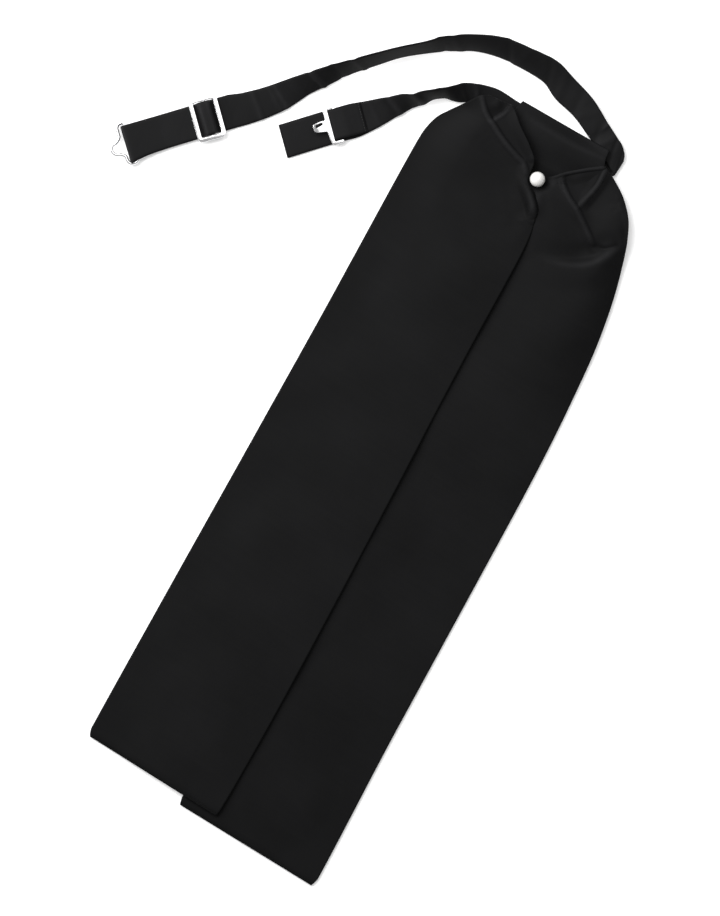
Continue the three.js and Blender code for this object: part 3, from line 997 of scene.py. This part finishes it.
def bandGrid(band):
    stations = band["stations"]
    last = len(stations["innerX"]) - 1
    places = np.linspace(0, last, last * band["each"] + 1)
    apart = spans(stations, *bandColumns[:6])
    value = {name: along(stations, name, places, apart)[:, None] for name in stations}
    f = np.linspace(0, 1, band["across"] + 1)[None, :]
    low = band["wall"] / 2
    innerZ, outerZ = np.maximum(value["innerZ"], low), np.maximum(value["outerZ"], low)
    grid = np.stack(
        [
            value["innerX"] + (value["outerX"] - value["innerX"]) * f,
            value["innerY"] + (value["outerY"] - value["innerY"]) * f,
            innerZ + (outerZ - innerZ) * f,
        ],
        2,
    )
    lift = value["bow"] * 4 * f * (1 - f)
    middle = grid[:, grid.shape[1] // 2]
    steps = np.linalg.norm(np.diff(middle, axis=0), axis=1)
    run = np.concatenate([[0], np.cumsum(steps)])[:, None]
    for at, height, wide, slant in band["creases"]:
        off = (run - np.interp(at, places, run[:, 0]) - slant * (f - 0.5)) / wide
        lift = lift + height * np.exp(-(off**2))
    return grid + unitNormals(grid) * lift[:, :, None]


# Points of a side view path whose corners are rounded to their bend radius.
def bentPath(corners):
    spots = [Vector((a, u)) for a, u in zip(corners["along"], corners["up"])]
    points = []
    for i, here in enumerate(spots):
        bend = corners["bend"][i]
        if not bend:
            points.append(here)
            continue
        back = (spots[i - 1] - here).normalized()
        on = (spots[i + 1] - here).normalized()
        half = back.angle(on) / 2
        centre = here + (back + on).normalized() * bend / sin(half)
        first = here + back * bend / tan(half) - centre
        sweep = (pi - 2 * half) * (1 if on.x * back.y - on.y * back.x > 0 else -1)
        steps = max(3, int(abs(sweep) / 0.16))
        for k in range(steps + 1):
            points.append(centre + Matrix.Rotation(sweep * k / steps, 2) @ first)
    return refine(points, 1.2)


def refine(points, most):
    out = [points[0]]
    for a, b in zip(points[:-1], points[1:]):
        steps = max(1, int((b - a).length / most))
        out += [a.lerp(b, (k + 1) / steps) for k in range(steps)]
    return out


# Grid along a side view path. flare widens one edge at the far end: by how much, and its reach.
def strapGrid(at, turn, path, width, shift, across, flare=(0, 1)):
    c, s = cos(radians(turn)), sin(radians(turn))
    f = np.linspace(0, 1, across + 1)
    u = np.array([point[0] for point in path])[:, None]
    v = shift + width * (f - 0.5) - flare[0] * np.exp((u.min() - u) / flare[1]) * (1 - f) ** 2
    z = np.array([point[1] for point in path])[:, None] + 0 * v
    return np.stack([at[0] + u * c - v * s, at[1] + u * s + v * c, z], 2)


def makeLongBand(finish):
    part, path = strap, bentPath(strap["corners"])
    end = strapGrid(
        part["at"], part["turn"], path, part["width"], 0, longBand["across"], part["flare"]
    )
    grid = np.concatenate([bandGrid(longBand), end])
    piece = dress(clothMesh("longBandCloth", grid, part["wall"], finish), "long_band")
    print("long band made")


def makeShortBand(finish):
    part = shortBand
    piece = dress(clothMesh("shortBandCloth", bandGrid(part), part["wall"], finish), "short_band")
    print("short band made")


hookAt = {"at": (-116.33, -30.22), "turn": 43.6}
hookLoop = {
    "wall": 0.8,
    "width": 16.9,
    "across": 22,
    "shift": -0.15,
    "flat": (0.017, 0.04),
    "corners": table(
        ("along", "up", "bend"),
        [
            [19.4, 1.95, 0],
            [4.1, 1.95, 1.2],
            [4.1, 4.5, 1.2],
            [11.4, 4.5, 12],
            [19.6, 2.5, 6],
            [22.2, 1.62, 0],
        ],
    ),
}


def makeHookLoop(finish):
    part = hookLoop
    path = bentPath(part["corners"])
    grid = strapGrid(
        hookAt["at"], hookAt["turn"], path, part["width"], part["shift"], part["across"]
    )
    piece = dress(clothMesh("hookLoopCloth", grid, part["wall"], finish), "hook_loop")
    print("hook loop made")


seam = {
    "along": 20.9,  # where the seam runs, in the hook's own direction
    "lift": 0.44,  # mm from the middle of the loop's cloth to the thread
    "margin": 0.9,
    "pitch": 1.5,
    "long": 1,
    "thick": 0.22,
    "lean": 0.12,  # most turn of a stitch out of the row, in radians
    "seed": 3,
}


# The mesh that a holder's curve or modifiers give. The holder goes.
def takeMesh(holder):
    bpy.context.view_layer.update()
    graph = bpy.context.evaluated_depsgraph_get()
    mesh = bpy.data.meshes.new_from_object(holder.evaluated_get(graph))
    bpy.data.objects.remove(holder)
    return mesh


# Node tree that sets a row of stitches along the edges of a mesh.
def stitchRow():
    tree = bpy.data.node_groups.new("stitchRow", "GeometryNodeTree")
    face = tree.interface
    face.new_socket("Geometry", in_out="OUTPUT", socket_type="NodeSocketGeometry")
    kinds = {
        "Seam": "Geometry",
        "Pitch": "Float",
        "Stitch Length": "Float",
        "Thickness": "Float",
        "Lean": "Float",
        "Seed": "Int",
        "Finish": "Material",
    }
    sockets = {
        name: face.new_socket(name, in_out="INPUT", socket_type="NodeSocket" + kind).identifier
        for name, kind in kinds.items()
    }
    given = tree.nodes.new("NodeGroupInput")
    value = {name: Link(tree, given.outputs[name]) for name in kinds}
    curve = addNode(tree, "GeometryNodeMeshToCurve", Mesh=value["Seam"])
    points = addNode(
        tree, "GeometryNodeResampleCurve", {"mode": "LENGTH"}, Curve=curve, Length=value["Pitch"]
    )
    thick = value["Thickness"]
    size = addNode(tree, "ShaderNodeCombineXYZ", X=value["Stitch Length"], Y=thick, Z=thick)
    bead = addNode(tree, "GeometryNodeMeshUVSphere", Segments=8, Rings=5, Radius=0.5)
    stitch = addNode(tree, "GeometryNodeTransform", Geometry=bead, Scale=size)
    tangent = addNode(tree, "GeometryNodeInputTangent")
    turn = addNode(tree, "FunctionNodeAlignRotationToVector", {"axis": "X"}, Vector=tangent)
    lean = addNode(
        tree,
        "FunctionNodeRandomValue",
        {"data_type": "FLOAT_VECTOR"},
        Min=value["Lean"] * -1.0,
        Max=value["Lean"],
        Seed=value["Seed"],
    )
    turn = addNode(tree, "FunctionNodeRotateRotation", Rotation=turn, Rotate_By=lean)
    row = addNode(
        tree, "GeometryNodeInstanceOnPoints", Points=points, Instance=stitch, Rotation=turn
    )
    row = addNode(tree, "GeometryNodeRealizeInstances", Geometry=row)
    row = addNode(tree, "GeometryNodeSetMaterial", Geometry=row, Material=value["Finish"])
    result = tree.nodes.new("NodeGroupOutput")
    tree.links.new(row.socket, result.inputs["Geometry"])
    return tree, sockets


def makeSeamStitches(finish):
    part = seam
    tail = bentPath(hookLoop["corners"])[-5:]
    height = np.interp(part["along"], [point[0] for point in tail], [point[1] for point in tail])
    ends = strapGrid(
        hookAt["at"],
        hookAt["turn"],
        [(part["along"], height + part["lift"])],
        hookLoop["width"] - 2 * part["margin"],
        hookLoop["shift"],
        1,
    )
    line = bpy.data.meshes.new("seamLine")
    ends = [place(x, y, z) for x, y, z in ends[0].tolist()]
    line.from_pydata(ends, [(0, 1)], [])
    holder = addObject("seamLine", line)
    tree, sockets = stitchRow()
    modifier = holder.modifiers.new("stitchRow", "NODES")
    modifier.node_group = tree
    modifier[sockets["Pitch"]] = part["pitch"] / 1000
    modifier[sockets["Stitch Length"]] = part["long"] / 1000
    modifier[sockets["Thickness"]] = part["thick"] / 1000
    modifier[sockets["Lean"]] = part["lean"]
    modifier[sockets["Seed"]] = part["seed"]
    modifier[sockets["Finish"]] = finish
    mesh = takeMesh(holder)
    mesh.polygons.foreach_set("use_smooth", [True] * len(mesh.polygons))
    mesh.name = "seamStitches"
    piece = addObject("seamStitches", mesh)
    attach(piece, "root")
    print("seam stitches made:", len(mesh.polygons), "faces")


hookPlate = {
    "low": 2.6,
    "thick": 1.2,
    "bevel": 0.22,
    "root": 0.9,  # where the tongue leaves the frame and starts to curl up
    "curl": 0.035,
    "corner": 0.7,
    "slotCorner": 0.5,
    "outline": [
        (0.7, -3.1),
        (0.9, -7.6),
        (1.4, -10),
        (2.5, -11.4),
        (7.6, -11),
        (8.4, -10.2),
        (8.1, -9.3),
        (3.4, -9.4),
        (3.4, 8.8),
        (6, 8.8),
        (6, -8.6),
        (7.8, -8.6),
        (7.8, 9),
        (6.8, 10.2),
        (2.2, 10.2),
        (0.9, 9),
        (0.9, 3),
        (-0.8, 3.5),
        (-2.6, 3.2),
        (-4.4, 2.9),
        (-6.2, 2.3),
        (-6.4, 0.6),
        (-6.1, -1.5),
        (-4.8, -2.2),
        (-2.8, -2.5),
        (-1, -2.7),
    ],
    "slot": [(-4.9, 1.9), (-3.1, 2.2), (-1.2, 2.5), (-0.7, 1.4), (-2.7, 0.8), (-4.8, 0.2)],
}


# Closed loop of points with each corner rounded.
def roundedLoop(points, radius, steps=5):
    out = []
    for i, here in enumerate(points):
        here = Vector(here)
        back, on = Vector(points[i - 1]) - here, Vector(points[(i + 1) % len(points)]) - here
        reach = min(radius, back.length * 0.45, on.length * 0.45)
        a, b = here + back.normalized() * reach, here + on.normalized() * reach
        for k in range(steps + 1):
            f = k / steps
            out.append((a * (1 - f) ** 2 + here * 2 * f * (1 - f) + b * f * f).to_tuple())
    return out


# Flat metal plate from closed outlines, with bevelled edges, as a mesh in its own plane.
def plateMesh(name, loops, thick, bevel):
    curve = bpy.data.curves.new(name, "CURVE")
    curve.dimensions = "2D"
    curve.fill_mode = "BOTH"
    curve.extrude = thick / 2 - bevel
    curve.bevel_depth = bevel
    curve.bevel_resolution = 3
    curve.offset = -bevel
    for loop in loops:
        spline = curve.splines.new("POLY")
        spline.points.add(len(loop) - 1)
        for point, (x, y) in zip(spline.points, loop):
            point.co = (x, y, 0, 1)
        spline.use_cyclic_u = True
    mesh = takeMesh(addObject(name, curve))
    bpy.data.curves.remove(curve)
    return mesh


# Puts a mesh drawn in mm in a fitting's own plane onto the part, as a finished piece.
def settle(name, mesh, at, turn, height, finish):
    work = bmesh.new()
    work.from_mesh(mesh)
    bmesh.ops.remove_doubles(work, verts=work.verts, dist=0.002)
    bmesh.ops.recalc_face_normals(work, faces=work.faces)
    move = Matrix.Translation((at[0] + origin[0], at[1] + origin[1], height))
    scale = Matrix.Scale(0.001, 4)
    bmesh.ops.transform(
        work, matrix=scale @ move @ Matrix.Rotation(radians(turn), 4, "Z"), verts=work.verts
    )
    made = bpy.data.meshes.new(name)
    work.to_mesh(made)
    work.free()
    made.materials.clear()
    made.materials.append(finish)
    made.polygons.foreach_set("use_smooth", [True] * len(made.polygons))
    made.set_sharp_from_angle(angle=radians(40))
    return addObject(name, made)


def makeHook(finish):
    part = hookPlate
    loops = [
        roundedLoop(part["outline"], part["corner"]),
        roundedLoop(part["slot"], part["slotCorner"]),
    ]
    mesh = plateMesh("hookPlate", loops, part["thick"], part["bevel"])
    work = bmesh.new()
    work.from_mesh(mesh)
    for cut in (part["root"], 0, -1, -2, -3, -4, -5):
        shape = work.verts[:] + work.edges[:] + work.faces[:]
        bmesh.ops.bisect_plane(work, geom=shape, plane_co=(cut, 0, 0), plane_no=(1, 0, 0))
    for vert in work.verts:
        past = max(0, part["root"] - vert.co.x)
        vert.co.z += part["curl"] * past * past
    work.to_mesh(mesh)
    work.free()
    height = part["low"] + part["thick"] / 2
    piece = settle("hookMetal", mesh, hookAt["at"], hookAt["turn"], height, finish)
    dress(piece, "hook")
    print("hook made")


slider = {
    "low": 2.6,
    "thick": 1.2,
    "bevel": 0.28,
    "turn": 44.0,
    "from": -9,
    "to": 7.2,
    "halfAcross": 12.2,
    "bar": 2.5,
    "sideBar": 2.2,
    "middleBar": (-1.7, -0.1),
    "outerCorner": 3.4,
    "innerCorner": 1.4,
}


def boxLoop(left, low, right, high):
    return [(left, low), (right, low), (right, high), (left, high)]


def makeSlider(finish):
    part = slider
    half, bar, middle = part["halfAcross"], part["bar"], part["middleBar"]
    inner = half - part["sideBar"]
    loops = [
        roundedLoop(boxLoop(part["from"], -half, part["to"], half), part["outerCorner"], 8),
        roundedLoop(boxLoop(part["from"] + bar, -inner, middle[0], inner), part["innerCorner"]),
        roundedLoop(boxLoop(middle[1], -inner, part["to"] - bar, inner), part["innerCorner"]),
    ]
    mesh = plateMesh("sliderPlate", loops, part["thick"], part["bevel"])
    height = part["low"] + part["thick"] / 2
    piece = settle("sliderMetal", mesh, strap["at"], part["turn"], height, finish)
    dress(piece, "slider")
    print("slider made")


eye = {
    "at": (-208.55, -90.0),
    "turn": 45.2,
    "height": 2.3,
    "radius": 1.0,
    "each": 8,
    "wire": table(
        ("along", "across"),
        [
            [1.8, -8.4],
            [1.8, 0],
            [1.8, 9.2],
            [0.9, 10.7],
            [-1.3, 10.3],
            [-2.7, 7.6],
            [-2.7, 4],
            [-4.8, 1.2],
            [-8, -0.4],
            [-8.6, -2.6],
            [-7.6, -4.8],
            [-4.4, -6],
            [-2.3, -7.6],
            [-1.9, -10.4],
            [-0.5, -12.2],
            [1.8, -12.4],
            [4, -11.4],
        ],
    ),
}


def makeEye(finish):
    part = eye
    last = len(part["wire"]["along"]) - 1
    places = np.linspace(0, last, last * part["each"] + 1)
    apart = spans(part["wire"], "along", "across")
    points = [along(part["wire"], name, places, apart) for name in ("along", "across")]
    curve = bpy.data.curves.new("eyeWire", "CURVE")
    curve.dimensions = "3D"
    curve.bevel_depth = part["radius"]
    curve.bevel_resolution = 5
    curve.use_fill_caps = True
    spline = curve.splines.new("POLY")
    spline.points.add(len(places) - 1)
    for point, x, y in zip(spline.points, *points):
        point.co = (x, y, 0, 1)
    mesh = takeMesh(addObject("eyeWire", curve))
    bpy.data.curves.remove(curve)
    piece = settle("eyeMetal", mesh, part["at"], part["turn"], part["height"], finish)
    dress(piece, "eye")
    print("eye made")


pearl = {"radius": 4.2, "height": 7.9}


def makePearl(finish):
    work = bmesh.new()
    bmesh.ops.create_uvsphere(work, u_segments=64, v_segments=40, radius=pearl["radius"])
    mesh = bpy.data.meshes.new("pearlBead")
    work.to_mesh(mesh)
    work.free()
    piece = settle("pearlBead", mesh, (0, 0), 0, pearl["height"], finish)
    dress(piece, "pearl")
    print("pearl made")


def main():
    makeCamera()
    makeStudio()
    print("studio made")
    bladeSatin, bandSatin = satin("bladeSatin"), satin("bandSatin")
    nickel = nickelPlate()
    makeLeftBlade(bladeSatin)
    makeRightBlade(bladeSatin)
    makeCollarPanel(satin("collarSatinPaintedLight"))
    makeLongBand(bandSatin)
    makeShortBand(bandSatin)
    makeHookLoop(satin("loopSatinPaintedLight"))
    makeSeamStitches(sewingThread())
    makeHook(nickel)
    makeSlider(nickel)
    makeEye(nickel)
    makePearl(pearlNacre())


main()
